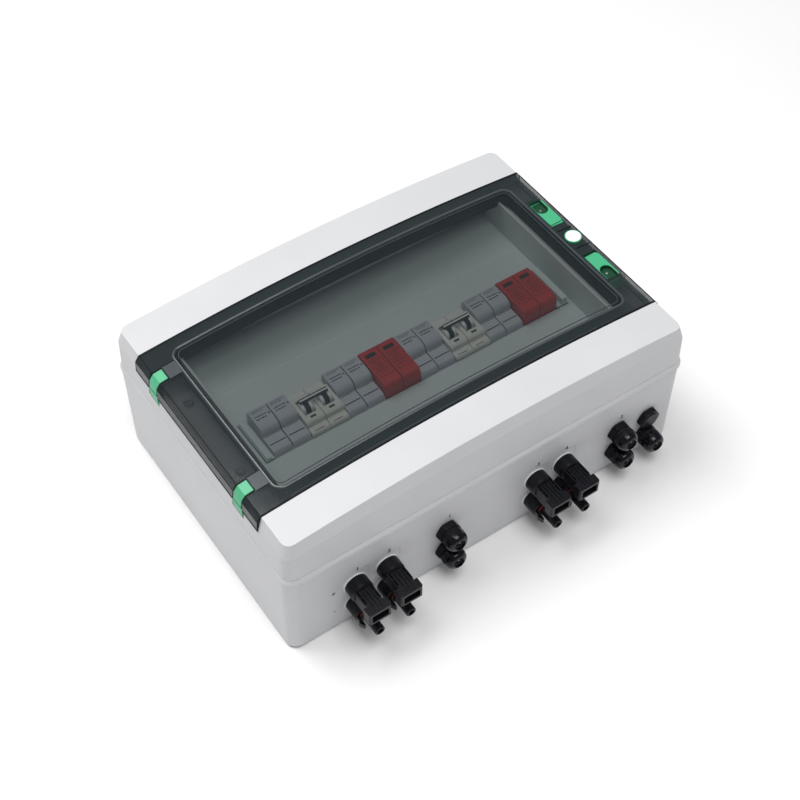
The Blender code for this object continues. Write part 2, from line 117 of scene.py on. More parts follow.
BAND_X = 0.1745      # where the door's end bands start, in metres
HINGE_BAND = 0.0585  # half width of the clearer stretch at the hinge end
LATCH_BAND = 0.0545  # half width of the darker stretch at the latch end


def smoked(name, tint, clear, dense, half_x, half_y, corner):
    """Smoked sheet: clearer inside the window outline, denser around it."""
    mat, tree, shader = shader_of(name)
    nodes, links = tree.nodes, tree.links
    coords = nodes.new("ShaderNodeTexCoord")
    parts = nodes.new("ShaderNodeSeparateXYZ")
    links.new(coords.outputs["Object"], parts.inputs["Vector"])

    def math_node(kind, a, b=0.0):
        node = nodes.new("ShaderNodeMath")
        node.operation = kind
        for socket, value in ((node.inputs[0], a), (node.inputs[1], b)):
            if isinstance(value, float):
                socket.default_value = value
            else:
                links.new(value, socket)
        return node.outputs["Value"]

    dist = []
    for axis, half in (("X", half_x), ("Y", half_y)):
        off = math_node("ABSOLUTE", parts.outputs[axis])
        off = math_node("SUBTRACT", off, (half - corner) * MM)
        dist.append(math_node("MAXIMUM", off, 0.0))
    square = math_node("ADD", math_node("MULTIPLY", dist[0], dist[0]),
                       math_node("MULTIPLY", dist[1], dist[1]))
    inside = math_node("LESS_THAN", square, (corner * MM) ** 2)
    haze = noise(tree, 9.0, 2.0)
    alpha = math_node("ADD", span(tree, inside, dense, clear), span(tree, haze, -0.02, 0.02))
    wide = math_node("ABSOLUTE", parts.outputs["Y"])
    left = math_node("MULTIPLY", math_node("LESS_THAN", parts.outputs["X"], -BAND_X),
                     math_node("LESS_THAN", wide, HINGE_BAND))
    right = math_node("MULTIPLY", math_node("GREATER_THAN", parts.outputs["X"], BAND_X),
                      math_node("GREATER_THAN", wide, LATCH_BAND))
    thin = math_node("ADD", math_node("MULTIPLY", left, 0.20), math_node("MULTIPLY", right, 0.14))
    links.new(math_node("SUBTRACT", alpha, thin), shader.inputs["Alpha"])
    low = tuple(c * 0.9 for c in tint)
    links.new(ramp(tree, haze, low, tint), shader.inputs["Base Color"])
    fine = noise(tree, 60.0, 2.0)
    links.new(span(tree, fine, 0.06, 0.12), shader.inputs["Roughness"])
    grain = noise(tree, 1300.0, 2.0)
    bump(tree, shader, grain, 0.5, 0.00012)
    relief = next(node for node in nodes if node.bl_idname == "ShaderNodeBump")
    links.new(span(tree, inside, 0.14, 0.0), relief.inputs["Strength"])
    return mat


SHELL = moulded("shell_grey", (0.57, 0.575, 0.59), rough=0.42, vary=0.02, relief=0.10)
PLATE = moulded("tray_grey", (0.56, 0.645, 0.635), rough=0.5, vary=0.02)
GREEN = moulded("latch_green", (0.060, 0.41, 0.205), rough=0.38, vary=0.05)
# dark green: painted shade inside the latch scoops, and also the breakers' printed green marks
SHADE_AND_MARK_GREEN = moulded("scoop_shade_and_mark_green", (0.004, 0.055, 0.022), rough=0.4, vary=0.06)
WHITE = moulded("plug_white", (0.92, 0.92, 0.93), rough=0.35, vary=0.015)
STEEL = moulded("plated_steel", (0.55, 0.56, 0.58), rough=0.32, metal=1.0, grain=400.0)
RUBBER = moulded("seal_rubber", (0.02, 0.02, 0.022), rough=0.75, vary=0.1)
MODULE = moulded("module_grey", (0.46, 0.50, 0.54), rough=0.5, vary=0.03)
BREAKER = moulded("breaker_beige", (0.66, 0.68, 0.62), rough=0.5, vary=0.03)
LABEL = moulded("label_paper", (0.80, 0.81, 0.80), rough=0.6, vary=0.02)
RED = moulded("arrester_red", (0.50, 0.020, 0.024), rough=0.45, vary=0.06)
DARK_RED = moulded("arrester_shade", (0.10, 0.006, 0.008), rough=0.5, vary=0.06)
BLACK = moulded("fitting_black", (0.0055, 0.0058, 0.0085), rough=0.3, vary=0.15, spec=0.22)
GLOSS = moulded("nut_black", (0.0045, 0.0048, 0.0078), rough=0.16, vary=0.15, relief=0.04, spec=0.3)
# near-black painted shade, used to fill mouths, bores, slots, grooves and gaps where shade falls
RECESS_SHADE = moulded("recess_shade_black", (0.003, 0.003, 0.004), rough=0.8, vary=0.1)
ORING = moulded("ring_red", (0.16, 0.018, 0.016), rough=0.5, vary=0.1)
INK = moulded("ink_grey", (0.035, 0.036, 0.045), rough=0.6, vary=0.1)
LINE = moulded("line_grey", (0.40, 0.41, 0.43), rough=0.5, vary=0.05)
WASHER = moulded("washer_grey", (0.78, 0.79, 0.80), rough=0.4, vary=0.02)
EDGE = moulded("edge_smoke", (0.006, 0.007, 0.010), rough=0.45, vary=0.1, relief=0.03, spec=0.1)
BEAD = moulded("bead_smoke", (0.055, 0.066, 0.074), rough=0.18, vary=0.08, relief=0.03)
DOOR = smoked("door_smoke", (0.022, 0.031, 0.034), 0.36, 0.73, 172.0, 84.0, 9.0)


# ---------------------------------------------------------------- mesh tools

def made(name, bm, mat, body, bevel=BEVEL, segments=2, angle=32.0, weld=True):
    """Finish a millimetre bmesh as a bevelled, smooth-shaded piece riding a body."""
    if weld:
        bmesh.ops.remove_doubles(bm, verts=bm.verts, dist=0.0005)
    bmesh.ops.recalc_face_normals(bm, faces=bm.faces)
    bmesh.ops.scale(bm, vec=(MM,) * 3, verts=bm.verts)
    mesh = bpy.data.meshes.new(name)
    bm.to_mesh(mesh)
    bm.free()
    piece = bpy.data.objects.new(name, mesh)
    bpy.context.scene.collection.objects.link(piece)
    mesh.materials.append(mat)
    soften(piece, bevel, segments, angle)
    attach(piece, body)
    return piece


def soften(piece, bevel, segments=2, angle=32.0, steps=False):
    """Round the sharp edges and shade the rest smooth; steps keeps level creases crisp."""
    for poly in piece.data.polygons:
        poly.use_smooth = True
    piece.data.set_sharp_from_angle(angle=math.radians(angle))
    if steps:
        crease_levels(piece.data)
    if bevel:
        step = piece.modifiers.new("edge", "BEVEL")
        step.width = bevel * MM
        step.segments = segments
        step.limit_method = "ANGLE"
        step.angle_limit = math.radians(angle)
        step.use_clamp_overlap = True
        step.harden_normals = True


def crease_levels(mesh, tilt=0.05):
    """Mark the edges where the surface changes its slope towards Z."""
    bm = bmesh.new()
    bm.from_mesh(mesh)
    flags = []
    for edge in bm.edges:
        sides = [face.normal.z for face in edge.link_faces]
        flags.append(len(sides) == 2 and abs(sides[0] - sides[1]) > tilt)
    bm.free()
    sharp = mesh.attributes.get("sharp_edge")
    sharp = sharp or mesh.attributes.new("sharp_edge", "BOOLEAN", "EDGE")
    for item, flag in zip(sharp.data, flags):
        item.value = item.value or flag


def block(x0, x1, y0, y1, z0, z1, bm=None):
    """Box, added to bm if one is given."""
    bm = bm or bmesh.new()
    fresh = bmesh.ops.create_cube(bm, size=1.0)["verts"]
    size = Matrix.Diagonal((x1 - x0, y1 - y0, z1 - z0, 1.0))
    middle = Vector(((x0 + x1) / 2, (y0 + y1) / 2, (z0 + z1) / 2))
    bmesh.ops.transform(bm, matrix=Matrix.Translation(middle) @ size, verts=fresh)
    return bm


def skin(rings, bm=None, closed=False):
    """Skin through equal rings, capped unless the rings close on themselves."""
    bm = bm or bmesh.new()
    rows = [[bm.verts.new(point) for point in ring] for ring in rings]
    count = len(rows[0])
    pairs = list(zip(rows, rows[1:])) + ([(rows[-1], rows[0])] if closed else [])
    for low, high in pairs:
        for i in range(count):
            j = (i + 1) % count
            bm.faces.new((low[i], low[j], high[j], high[i]))
    if not closed:
        bm.faces.new(list(reversed(rows[0])))
        bm.faces.new(rows[-1])
    return bm


def lathe_y(profile, x, z, sides=48, bm=None, closed=False):
    """Turned form about a line along Y; profile holds (radius, y)."""
    rings = []
    for radius, y in profile:
        angles = [2 * math.pi * i / sides for i in range(sides)]
        rings.append([(x + radius * math.sin(a), y, z + radius * math.cos(a)) for a in angles])
    return skin(rings, bm, closed)


def lathe_z(profile, x, y, sides=48, bm=None, closed=False):
    """Turned form about a line along Z; profile holds (radius, z)."""
    rings = []
    for radius, z in profile:
        angles = [2 * math.pi * i / sides for i in range(sides)]
        rings.append([(x + radius * math.cos(a), y + radius * math.sin(a), z) for a in angles])
    return skin(rings, bm, closed)


def prism_x(outline, x0, x1, bm=None):
    """Prism of a y, z outline."""
    return skin([[(x, y, z) for y, z in outline] for x in (x0, x1)], bm)


def prism_y(outline, y0, y1, bm=None):
    """Prism of an x, z outline."""
    return skin([[(x, y, z) for x, z in outline] for y in (y0, y1)], bm)


def prism_z(outline, z0, z1, bm=None):
    """Prism of an x, y outline."""
    return skin([[(x, y, z) for x, y in outline] for z in (z0, z1)], bm)


def round_corner(cx, cy, radius, start, steps=6):
    """Quarter arc of points from a start angle in degrees."""
    angles = [math.radians(start + 90.0 * i / steps) for i in range(steps + 1)]
    return [(cx + radius * math.cos(a), cy + radius * math.sin(a)) for a in angles]


def round_rect(x0, x1, y0, y1, radius, steps=6):
    """Rounded rectangle outline, anticlockwise."""
    r = radius
    return (round_corner(x1 - r, y0 + r, r, -90, steps) + round_corner(x1 - r, y1 - r, r, 0, steps)
            + round_corner(x0 + r, y1 - r, r, 90, steps)
            + round_corner(x0 + r, y0 + r, r, 180, steps))


def carved(bm, *cutters):
    """Cut the cutters' forms out of bm and hand back a new bmesh."""
    def temp(source):
        bmesh.ops.recalc_face_normals(source, faces=source.faces)
        mesh = bpy.data.meshes.new("temp")
        source.to_mesh(mesh)
        source.free()
        holder = bpy.data.objects.new("temp", mesh)
        bpy.context.scene.collection.objects.link(holder)
        return holder

    main = temp(bm)
    tools = [temp(tool) for tool in cutters]
    for tool in tools:
        step = main.modifiers.new("cut", "BOOLEAN")
        step.operation = "DIFFERENCE"
        step.solver = "EXACT"
        step.object = tool
    bpy.context.view_layer.update()
    result = bmesh.new()
    graph = bpy.context.evaluated_depsgraph_get()
    result.from_object(main, graph)
    for holder in (main, *tools):
        bpy.data.objects.remove(holder, do_unlink=True)
    return result


def spot(node):
    """Lowest and highest corner of a CAD node in millimetres."""
    low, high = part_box(node)
    return low / MM, high / MM


def stamp(name, text, size, place, turn, mat, body, depth=0.05, heavy=0.0):
    """A short generic mark, such as a number or a sign."""
    curve = bpy.data.curves.new(name, "FONT")
    curve.body = text
    curve.size = size * MM
    curve.extrude = depth * MM
    curve.offset = heavy * MM
    curve.align_x = "CENTER"
    curve.align_y = "CENTER"
    holder = bpy.data.objects.new(name, curve)
    bpy.context.scene.collection.objects.link(holder)
    graph = bpy.context.evaluated_depsgraph_get()
    mesh = bpy.data.meshes.new_from_object(holder.evaluated_get(graph))
    bpy.data.objects.remove(holder, do_unlink=True)
    piece = bpy.data.objects.new(name, mesh)
    bpy.context.scene.collection.objects.link(piece)
    mesh.materials.clear()
    mesh.materials.append(mat)
    move = Matrix.Translation(Vector(place) * MM) @ Euler(turn).to_matrix().to_4x4()
    mesh.transform(move)
    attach(piece, body)
    return piece


UPRIGHT = (math.pi / 2, 0.0, 0.0)


# ---------------------------------------------------------------- carried-over nodes

FINISH = {
    "base_shell": (SHELL, 0.8), "lid_shell": (SHELL, 0.8), "lid_gasket": (RUBBER, 0.3),
    "door": (DOOR, 0.4), "blank_left": (PLATE, 0.3),
    "blank_right": (PLATE, 0.3), "din_rail": (STEEL, 0.1), "hinge_rod": (STEEL, 0.2),
    "lock_ring": (GREEN, 0.4), "lock_plug": (WHITE, 0.5),
}
for number in range(1, 5):
    FINISH[f"lid_screw_{number}"] = (STEEL, 0.3)
    FINISH[f"fuse_base_{number}"] = (MODULE, 0.4)
for number in (1, 2):
    FINISH[f"surge_base_{number}"] = (RED, 0.4)

for node, (mat, bevel) in FINISH.items():
    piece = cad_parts[node]
    if not piece.material_slots:
        piece.data.materials.append(mat)
    for holder in piece.material_slots:
        holder.material = mat
    soften(piece, bevel, steps=node in ("base_shell", "lid_shell"),
           angle=20.0 if node == "door" else 32.0)


# ---------------------------------------------------------------- lid and door trim

LID_HIGH = spot("lid_shell")[1]
DOOR_LOW, DOOR_HIGH = spot("door")
HALF_TOP = 193.7
CROWN = 9.0
LID_END_Z = LID_HIGH.z - CROWN


def top_z(x):
    """Height of the crowned top at x."""
    return LID_END_Z + CROWN * max(0.0, 1.0 - (x / HALF_TOP) ** 2)


def crowned_loop(x0, x1, y0, y1, radius, width, lift, name, mat, body, sink=0.3):
    """Rounded-rectangle bead lying on the crowned top."""
    outline = []
    corners = round_rect(x0, x1, y0, y1, radius, 8)
    for (ax, ay), (bx, by) in zip(corners, corners[1:] + corners[:1]):
        pieces = max(1, int(math.hypot(bx - ax, by - ay) // 12))
        for k in range(pieces):
            outline.append((ax + (bx - ax) * k / pieces, ay + (by - ay) * k / pieces))
    rings = []
    count = len(outline)
    for i, (x, y) in enumerate(outline):
        ax, ay = outline[i - 1]
        bx, by = outline[(i + 1) % count]
        along = Vector((bx - ax, by - ay)).normalized()
        nx, ny = along.y, -along.x
        ring = []
        for side, height in ((-0.5, -sink), (-0.3, lift), (0.3, lift), (0.5, -sink)):
            px, py = x + nx * side * width, y + ny * side * width
            ring.append((px, py, top_z(px) + height))
        rings.append(ring)
    return made(name, skin(rings, closed=True), mat, body, bevel=0.0, angle=60.0)


WINDOW = (-172.0, 173.0, -84.0, 84.0)


def window(inset):
    """Window outline's x0, x1, y0 and y1, moved in by inset."""
    x0, x1, y0, y1 = WINDOW
    return x0 + inset, x1 - inset, y0 + inset, y1 - inset


crowned_loop(*window(0.0), 9.0, 2.4, 0.5, "door_window_bead", BEAD, "door_set")
crowned_loop(*window(4.0), 6.0, 0.8, 0.25, "door_window_line", BEAD, "door_set")


def door_edge(name, y, width=1.5):
    """Dark moulded edge along one long side of the door."""
    rings = []
    for i in range(49):
        x = -HALF_TOP + 2 * HALF_TOP * i / 48
        z = top_z(x)
        rings.append([(x, y - width / 2, z - 0.4), (x, y + width / 2, z - 0.4),
                      (x, y + width / 2, z + 0.12), (x, y - width / 2, z + 0.12)])
    made(name, skin(rings), EDGE, "door_set", bevel=0.0, angle=60.0)


door_edge("door_edge_back", DOOR_HIGH.y - 0.9)
door_edge("door_edge_front", DOOR_LOW.y + 0.9)

# fine crease lines along both folded ends of the door
FOOT_Z = DOOR_LOW.z
KNEE_Z = 136.0
CLIP_GAPS = [-74.1, -59.3, 59.3, 74.1]
for side, end in ((-1, "hinge"), (1, "latch")):
    stops = [DOOR_LOW.y + 0.3, DOOR_HIGH.y - 0.3]
    if side < 0:
        stops[1:1] = CLIP_GAPS
    for label, x, z in (("top", HALF_TOP, LID_END_Z), ("knee", DOOR_HIGH.x - 1.0, KNEE_Z),
                        ("foot", DOOR_HIGH.x, FOOT_Z + 0.6)):
        bm = bmesh.new()
        for y0, y1 in zip(stops[::2], stops[1::2]):
            block(side * x - 0.28, side * x + 0.28, y0, y1, z - 0.28, z + 0.28, bm)
        made(f"door_crease_{end}_{label}", bm, EDGE, "door_set", bevel=0.0)
    for y in (DOOR_LOW.y + 0.5, DOOR_HIGH.y - 0.5):
        path = [(HALF_TOP, LID_END_Z), (DOOR_HIGH.x - 1.0, KNEE_Z), (DOOR_HIGH.x, FOOT_Z)]
        rings = [[(side * (x - 0.6), y - 0.5, z), (side * (x - 0.6), y + 0.5, z),
                  (side * (x + 0.12), y + 0.5, z + 0.1), (side * (x + 0.12), y - 0.5, z + 0.1)]
                 for x, z in path]
        made(f"door_rim_{end}_{'back' if y > 0 else 'front'}", skin(rings), EDGE, "door_set",
             bevel=0.0)

# recessed pads beside the hinge clips
for name, y in (("back", 66.7), ("front", -66.7)):
    x0, x1 = -184.4, -171.8
    outline = [(x0, top_z(x0)), (x1, top_z(x1)), (x1, top_z(x1) + 0.5), (x0, top_z(x0) + 0.5)]
    bm = carved(prism_y(outline, y - 7.8, y + 7.8),
                block(x0 - 1.0, x1 - 0.7, y - 7.2, y + 7.2, 130.0, 160.0))
    made(f"hinge_frame_{name}", bm, EDGE, "door_set", bevel=0.1)
    sheet = [(x, z - 0.35) for x, z in outline]
    made(f"hinge_pad_{name}", prism_y(sheet, y - 7.2, y + 7.2), BEAD, "door_set", bevel=0.0)

# hinge clips: hook over the door end, black slot, wider tab round the rod
for name in ("back", "front"):
    low, high = spot(f"hinge_clip_{name}")
    y = (low.y + high.y) / 2
    x0, zr = low.x, low.z + 4.0
    hook = [(x0 + 0.2, 129.0), (x0 + 1.2, 136.0), (x0 + 5.0, 141.1), (x0 + 12.9, 142.3),
            (x0 + 12.9, 139.6), (x0 + 6.4, 138.2), (x0 + 4.6, 135.2), (x0 + 3.9, 129.0)]
    tab = [(x0, zr), (x0, 126.6), (x0 + 3.8, 126.6), (x0 + 6.0, zr + 2.4), (x0 + 6.6, zr)]
    bm = prism_y(hook, y - 5.7, y + 5.7)
    prism_y(tab, low.y, high.y, bm)
    lathe_y([(4.0, low.y), (4.0, high.y)], x0 + 4.0, zr, 32, bm)
    clip = made(f"clip_{name}", bm, GREEN, "door_set", bevel=0.3)
    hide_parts(f"hinge_clip_{name}")
    core = [(x0 + 0.9, 125.6), (x0 + 1.9, 135.8), (x0 + 5.3, 140.4), (x0 + 12.6, 141.5),
            (x0 + 12.6, 139.8), (x0 + 6.2, 138.4), (x0 + 4.5, 135.2), (x0 + 3.7, 125.6)]
    made(f"clip_core_{name}", prism_y(core, low.y + 0.1, high.y - 0.1), EDGE, "door_set",
         bevel=0.1)
    made(f"clip_pin_{name}", lathe_y([(1.2, high.y - 2.0), (1.2, high.y + 0.4)], x0 + 1.6, 124.4,
         20), WASHER, "door_set", bevel=0.1)


# latches: slide, raised pad, open-ended scoop with a screw at its bottom; the scoop's dark green
# lining is painted shade
def scoop_form(x, y, end, reach, radius, z0, z1):
    """Half-round scoop outline running out to one end."""
    start = 180.0 if end > 0 else 0.0
    arc = [(x + radius * math.cos(math.radians(start + 180.0 * i / 16)),
            y + radius * math.sin(math.radians(start + 180.0 * i / 16))) for i in range(17)]
    tip = y + end * reach
    return prism_z(arc + [(arc[-1][0], tip), (arc[0][0], tip)], z0, z1)


for name, end in (("back", 1), ("front", -1)):
    low, high = spot(f"latch_{name}")
    body = f"latch_slide_{name}"
    yc = (low.y + high.y) / 2
    xc = (low.x + high.x) / 2
    z1 = low.z + 4.0
    z2 = high.z
    half = (high.y - low.y) / 2 - 8.0
    y_in, y_out = yc - end * (half - 0.7), yc + end * (half - 0.2)
    scoop_y = yc + end * (half - 10.0)
    parts = []
    for inset, top in ((0.0, z2 - 1.5), (2.6, z2 - 0.3)):
        ya, yb = sorted((y_in + end * inset, y_out))
        parts.append((round_rect(xc - 7.2, xc + 7.2, ya, yb, 2.2), top))
    for label, (outline, top) in zip(("step", "pad"), parts):
        bm = carved(prism_z(outline, z1 - 1.0, top),
                    scoop_form(xc, scoop_y, end, 12.0, 5.9, z1 + 0.4, z2 + 3.0))
        made(f"latch_{label}_{name}", bm, GREEN, body, bevel=0.35)
    plate = prism_z(round_rect(low.x, high.x, low.y, high.y, 3.0), low.z, z1)
    main = made(f"latch_plate_{name}", plate, GREEN, body, bevel=0.6)
    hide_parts(f"latch_{name}")
    # dark green sheet on the scoop's walls and floor: painted shade in the scoop
    made(f"latch_scoop_shade_{name}", carved(
        scoop_form(xc, scoop_y, end, 9.6, 5.9, z1 - 0.2, z2 - 0.6),
        scoop_form(xc, scoop_y, end, 12.0, 5.4, z1 + 0.6, z2 + 3.0)), SHADE_AND_MARK_GREEN, body,
        bevel=0.0)
    made(f"latch_screw_{name}", lathe_z([(1.4, z1 + 0.5), (1.4, z1 + 1.1), (1.0, z1 + 1.5)], xc,
         scoop_y + end * 1.0, 24), STEEL, body, bevel=0.1)

# white insert with a thin green rim between the latches
low, high = spot("lock_ring")
ring_x, ring_y = (low.x + high.x) / 2, (low.y + high.y) / 2
made("lock_insert", lathe_z([(6.8, high.z - 1.5), (6.8, high.z + 0.15), (6.4, high.z + 0.4)],
     ring_x, ring_y), WHITE, "door_set", bevel=0.1)


# rib lines beside the lock plug
for k, y in enumerate((14.0, -11.0), 1):
    x0, x1 = 176.0, 192.0
    outline = [(x0, top_z(x0) - 0.2), (x1, top_z(x1) - 0.2), (x1, top_z(x1) + 0.35),
               (x0, top_z(x0) + 0.35)]
    made(f"door_rib_{k}", prism_y(outline, y - 0.4, y + 0.4), EDGE, "door_set", bevel=0.1)


# ---------------------------------------------------------------- modules

PLATE_TOP = spot("blank_left")[1].z - 1.2


def dashes(name, x0, x1, y, z, tall, mat, body, seed):
    """Broken line of small raised dashes standing in for print."""
    bm = bmesh.new()
    x, k = x0, seed
    while x < x1 - 0.3:
        step = 0.7 + 0.5 * ((k * 7) % 4)
        block(x, min(x + step, x1), y - tall / 2, y + tall / 2, z - 0.1, z + 0.1, bm)
        x += step + 0.45
        k += 1
    made(name, bm, mat, body, bevel=0.0, weld=False)


# front plate: sheet running back under the lid, walls at the ends and front, low lip behind
TRAY_BACK = 111.0
low, high = spot("front_plate")
x0, x1, y0, y1 = low.x, high.x, low.y, high.y
foot = PLATE_TOP
bm = block(x0, x1, y0, TRAY_BACK, low.z, foot)
wall_top = [(x0, foot - 1.0), (x0, high.z), (x0 + 2.5, high.z), (x0 + 5.0, foot - 1.0)]
slot_low, slot_high = spot("blank_left")
opening = block(-152.0, 156.0, slot_low.y - 0.3, slot_high.y + 0.3, low.z - 2.0, foot + 2.0)
sheet_piece = made("tray_sheet", carved(bm, opening), PLATE, "box", bevel=0.4)
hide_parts("front_plate")
made("tray_wall_left", prism_y(wall_top, y0, y1), PLATE, "box", bevel=0.5)
made("tray_wall_right", prism_y([(-x, z) for x, z in wall_top], y0, y1), PLATE, "box", bevel=0.5)
made("tray_wall_front", prism_x([(y0, foot - 1.0), (y0, high.z), (y0 + 2.5, high.z),
     (y0 + 8.0, foot - 1.0)], x0, x1), PLATE, "box", bevel=0.5)
made("tray_wall_back", block(x0, x1, TRAY_BACK - 3.0, TRAY_BACK - 0.2, foot - 1.0,
     foot + 6.0), PLATE, "box", bevel=0.5)


def window_skirt(drop, thick):
    """Dark rib under the door round the window."""
    rings = []
    for inset, fall in ((0.0, 2.2), (thick, 2.2), (thick, drop), (0.0, drop)):
        outline = round_rect(*window(1.0 + inset), max(2.0, 8.0 - inset), 6)
        points = []
        for (ax, ay), (bx, by) in zip(outline, outline[1:] + outline[:1]):
            pieces = max(1, int(math.hypot(bx - ax, by - ay) // 15))
            points += [(ax + (bx - ax) * k / pieces, ay + (by - ay) * k / pieces)
                       for k in range(pieces)]
        rings.append([(x, y, top_z(x) - fall) for x, y in points])
    made("door_window_skirt", skin(rings, closed=True), EDGE, "door_set", bevel=0.0)


window_skirt(16.0, 1.6)

# blanking strips beside the row, with painted shade standing in for their grooves, and the scored
# line on the plate
for name, side in (("left", -1), ("right", 1)):
    low, high = spot(f"blank_{name}")
    rise, shift = (2.6, 0.0) if side < 0 else (6.8, 4.4)
    made(f"strip_{name}", block(low.x + 0.6 + shift, high.x - 0.4 - (side < 0) * 1.8,
         low.y + 0.4, high.y - 0.4, high.z - 0.2, high.z + rise), PLATE, "box", bevel=0.3)
    # flat near-black frame round each strip: painted shade in the groove round it
    made(f"strip_gap_shade_{name}", carved(
        block(low.x - 0.7, high.x + 0.7, low.y - 0.7, high.y + 0.7, PLATE_TOP - 0.3,
              PLATE_TOP + 0.1),
        block(low.x + 0.2, high.x - 0.2, low.y + 0.2, high.y - 0.2, PLATE_TOP - 1.0,
              PLATE_TOP + 1.0)), RECESS_SHADE, "box", bevel=0.0)
made("plate_line", block(-155.0, 155.0, 48.7, 49.1, PLATE_TOP - 0.1, PLATE_TOP + 0.12), LABEL,
     "box", bevel=0.0)


def fuse_carrier(number):
    """Pull-out carrier: printed rear block, convex drop, low front lip."""
    node = f"fuse_carrier_{number}"
    low, high = spot(node)
    z, n0, n1 = low.z, low.y, high.y
    arc = [(n1 - 18.0 - 7.0 * math.sin(math.radians(a)), z + 5.6 + 7.6 * math.cos(math.radians(a)))
           for a in range(10, 91, 16)]
    outline = [(n0, z), (n1, z), (n1, z + 11.0), (n1 - 0.6, z + 12.8), (n1 - 2.2, z + 13.5),
               (n1 - 16.5, z + 13.5)] + arc + [(n0 + 6.0, z + 5.2), (n0 + 2.4, z + 4.6),
               (n0 + 0.8, z + 3.0)]
    body = f"carrier_{number}"
    piece = made(node + "_grip", prism_x(outline, low.x, high.x), MODULE, body, bevel=0.6)
    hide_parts(node)
    x = (low.x + high.x) / 2
    top = z + 13.5
    made(node + "_line", block(low.x + 1.2, high.x - 1.2, n0 + 8.4, n0 + 9.2, z + 5.0, z + 5.7),
         INK, body, bevel=0.1)
    for k, (y, tall) in enumerate(((n1 - 3.4, 0.5), (n1 - 5.2, 0.5), (n1 - 9.6, 1.1),
                                  (n1 - 12.6, 1.1))):
        dashes(f"{node}_print_{k}", x - 6.2, x + 6.0 - 2.2 * (k % 2) - (k == 2), y, top, tall, INK,
               body, number + 3 * k)
    made(node + "_arrow", prism_z([(x + 5.4, n1 - 10.6), (x + 7.2, n1 - 9.4), (x + 7.2, n1 - 11.8)],
         top - 0.1, top + 0.12), INK, body, bevel=0.0)
    made(node + "_seam", block(x - 6.6, x + 6.8, n0 + 17.4, n0 + 17.7, z + 5.2, z + 5.75), INK,
         body, bevel=0.0)


for number in range(1, 9):
    fuse_carrier(number)


def breaker(number):
    """Two-pole breaker nose with toggle windows, label and indicator marks."""
    node = f"breaker_body_{number}"
    low, high = spot(node)
    tog_low, tog_high = spot(f"breaker_toggle_{number}")
    top = high.z
    yc = (low.y + high.y) / 2
    n0, n1 = yc - 22.3, yc + 22.3
    z0 = PLATE_TOP - 14.0
    y_pivot = yc + 2.0
    outline = [(n0, z0), (n1, z0), (n1, top - 5.0), (n1 - 1.0, top - 4.0), (n1 - 7.0, top - 4.0),
               (n1 - 8.4, top - 1.0), (n1 - 10.0, top), (n0 + 10.0, top), (n0 + 8.2, top - 1.2),
               (n0 + 7.0, top - 5.0), (n0 + 1.2, top - 5.6), (n0, top - 6.8)]
    xm = (low.x + high.x) / 2
    cutters = [block(x - 5.4, x + 5.4, y_pivot - 8.0, y_pivot + 8.6, top - 6.6, top + 4.0)
               for x in (xm - 9.0, xm + 9.0)]
    cutters.append(block(xm - 0.25, xm + 0.25, n0 - 1.0, n1 + 1.0, top - 7.0, top + 2.0))
    bm = carved(prism_x(outline, low.x, high.x), *cutters)
    piece = made(f"breaker_nose_{number}", bm, BREAKER, "box", bevel=0.4)
    rail = block(low.x, high.x, yc - 43.0, yc + 43.0, low.z, z0 - 8.0)
    shell = made(f"breaker_case_{number}", rail, BREAKER, "box", bevel=0.8)
    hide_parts(node)
    made(f"breaker_neck_{number}", block(low.x, high.x, n0 - 3.0, n1 + 3.0, z0 - 8.3, z0 + 0.3),
         BREAKER, "box", bevel=0.8)
    made(f"breaker_label_{number}", block(xm - 15.6, xm + 15.6, y_pivot + 9.6, n1 - 7.4,
         top - 4.1, top - 3.9), LABEL, "box", bevel=0.0)
    for k, x in enumerate((xm - 9.0, xm + 9.0), 1):
        made(f"breaker_mark_{number}_{k}", block(x - 2.6, x + 2.6, n0 + 11.6, n0 + 13.8,
             top - 0.1, top + 0.12), SHADE_AND_MARK_GREEN, "box", bevel=0.0)
        for j in range(2):
            dashes(f"breaker_text_{number}_{k}_{j}", x - 5.0, x + 4.0 - 2.0 * j, n0 + 2.4 + 2.2 * j,
                   top - 5.4, 0.7, INK, "box", number + k + j)
    body = f"toggle_{number}"
    y, z = y_pivot, top - 2.0
    turn = [math.radians(a) for a in range(0, 360, 20)]
    drum = [(y + 5.4 * math.sin(a), z + 5.4 * math.cos(a)) for a in reversed(turn)]
    core = [(y + 5.9 * math.sin(a), z + 5.9 * math.cos(a)) for a in reversed(turn)]
    lever = [(y - 3.0, z + 3.6), (y + 2.6, z + 4.4), (y + 4.4, z + 7.6), (y + 2.0, z + 8.4)]
    drums, levers = bmesh.new(), bmesh.new()
    for x in (xm - 9.0, xm + 9.0):
        prism_x(drum, x - 5.1, x + 5.1, drums)
        prism_x(core, x - 2.3, x + 2.3, levers)
        prism_x(lever, x - 2.3, x + 2.3, levers)
    made(f"breaker_drums_{number}", drums, WASHER, body, bevel=0.3)
    main = made(f"breaker_levers_{number}", levers, BLACK, body, bevel=0.3)
    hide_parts(f"breaker_toggle_{number}")
    bar = [(y + 0.6, z + 6.2), (y + 3.6, z + 5.8), (y + 4.8, z + 7.6), (y + 4.2, z + 8.8),
           (y + 1.2, z + 8.6)]
    made(f"breaker_bar_{number}", prism_x(bar, tog_low.x, tog_high.x), INK, body, bevel=0.3)
    # pale strip along the top of the metal tie bar: painted highlight
    made(f"breaker_bar_glint_{number}", block(tog_low.x, tog_high.x, y + 1.4, y + 2.8, z + 8.3,
         z + 9.1), WASHER, body, bevel=0.2)


for number in (1, 2):
    breaker(number)


